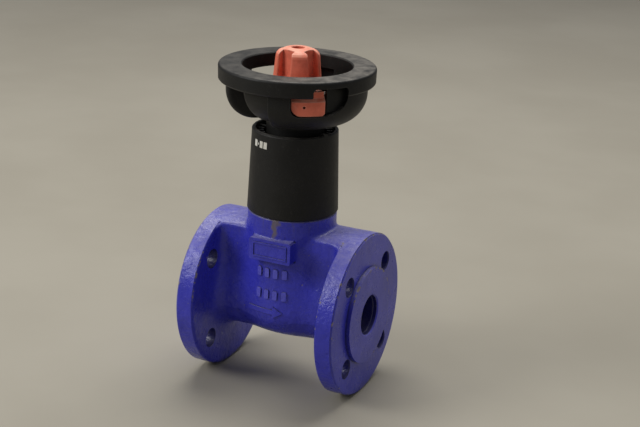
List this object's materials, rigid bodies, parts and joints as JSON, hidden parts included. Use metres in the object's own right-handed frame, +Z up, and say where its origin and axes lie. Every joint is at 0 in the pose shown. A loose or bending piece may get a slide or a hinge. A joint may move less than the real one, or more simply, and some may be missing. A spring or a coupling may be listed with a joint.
{
  "type": "diaphragm valve",
  "caption": "Flanged shut-off valve with a ported cast body, a rubber diaphragm pressed on an inner seat, a non-rising handwheel and a rising position indicator.",
  "frame": {"origin": "centre of the inlet flange's raised sealing face, on the pipe axis", "axes": "+X along the pipe with the flow, +Z up along the stem, +Y to the back of the valve"},
  "size_m": [0.125, 0.115, 0.239],
  "materials": {
    "painted_iron": "blue enamel over cast iron",
    "grey_iron": "machined",
    "steel": "turned",
    "zinc_steel": "zinc plated",
    "brass": "turned",
    "epdm": "moulded",
    "white_plastic": "plain",
    "black_plastic": "moulded, worn",
    "red_plastic": "moulded, faded"
  },
  "bodies": {
    "root": {"valve_body": "painted_iron", "diaphragm": "epdm", "clamp_ring": "steel", "bonnet": "grey_iron", "stem_bush": "white_plastic", "bonnet_o_ring": "epdm", "stem_o_rings": "epdm", "wiper_ring": "epdm", "cover_o_ring": "epdm", "lower_thrust_washer": "white_plastic", "upper_thrust_washer": "white_plastic", "retaining_nut": "steel", "bonnet_cover": "black_plastic"},
    "stem": {"stem": "steel", "plug": "grey_iron", "plug_pin": "steel", "diaphragm_stud": "steel", "guide_pin": "steel", "indicator_clips": "zinc_steel"},
    "handwheel": {"handwheel": "black_plastic", "stem_nut": "brass", "wheel_washer": "zinc_steel", "wheel_nut": "zinc_steel"},
    "indicator": {"position_indicator": "red_plastic"}
  },
  "joints": [
    {"name": "handwheel_turn", "type": "hinge", "parent": "root", "child": "handwheel", "pos_m": [0.0625, 0, 0.16], "axis": [0, 0, 1], "range_deg": [0, 810]},
    {"name": "stem_rise", "type": "slide", "parent": "root", "child": "stem", "axis": [0, 0, 1], "range_m": [0, 0.00675], "deforming": ["diaphragm"]},
    {"name": "indicator_rise", "type": "slide", "parent": "handwheel", "child": "indicator", "axis": [0, 0, 1], "range_m": [0, 0.00675]}
  ],
  "couplings": [
    {"joint": "stem_rise", "follows": "handwheel_turn", "m_per_rad": 0.00047746},
    {"joint": "indicator_rise", "follows": "handwheel_turn", "m_per_rad": 0.00047746}
  ]
}
